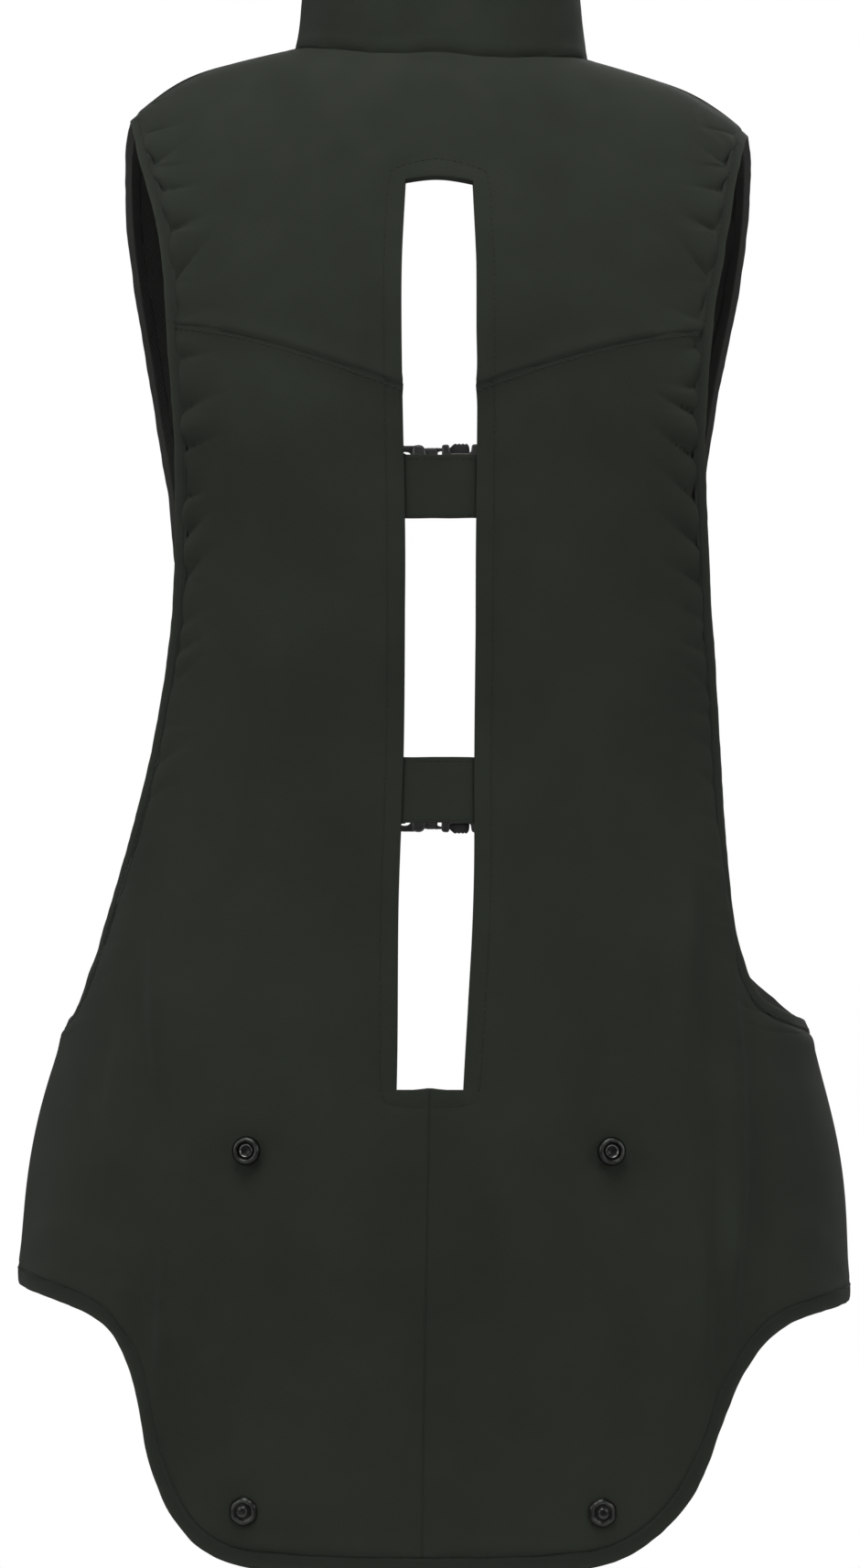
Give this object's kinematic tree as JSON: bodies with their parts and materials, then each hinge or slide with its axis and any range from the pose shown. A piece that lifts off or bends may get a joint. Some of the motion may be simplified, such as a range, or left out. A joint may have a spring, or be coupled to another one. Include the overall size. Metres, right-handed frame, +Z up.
{
  "type": "airbag vest",
  "caption": "Padded sleeveless vest for a worn airbag, with a stand-up collar, deep armholes, hip wings, a rounded tail flap and a long spine slot bridged by straps.",
  "frame": {"origin": "middle of the neck hole, level with the shoulder ridges beside the collar, where the vest is held", "axes": "+Z up along the wearer's spine, +Y to the wearer's front, +X to the wearer's right"},
  "size_m": [0.4316, 0.2505, 0.8087],
  "materials": {
    "shell": "matt dark grey-green woven softshell",
    "binding": "matt dark folded edge tape",
    "lining": "black matt lining",
    "webbing": "black ribbed webbing",
    "plastic": "dark grey moulded, slightly glossy",
    "metal": "dark lacquered snap metal"
  },
  "bodies": {
    "root": {"back_yoke": "shell", "collar": "shell", "back_panel_left": "shell", "front_panel_left": "shell", "front_lining_left": "lining", "armhole_binding_left": "binding", "snap_socket_left": "metal", "snap_stud_left": "metal", "back_panel_right": "shell", "front_panel_right": "shell", "front_lining_right": "lining", "armhole_binding_right": "binding", "snap_socket_right": "metal", "snap_stud_right": "metal", "hem_binding": "binding", "bridge_strap_upper": "shell", "bridge_strap_lower": "shell", "buckle_plug_upper": "plastic", "buckle_socket_upper": "plastic", "chest_strap_upper_left": "webbing", "chest_strap_upper_right": "webbing", "buckle_plug_lower": "plastic", "buckle_socket_lower": "plastic", "chest_strap_lower_left": "webbing", "chest_strap_lower_right": "webbing"}
  },
  "joints": []
}
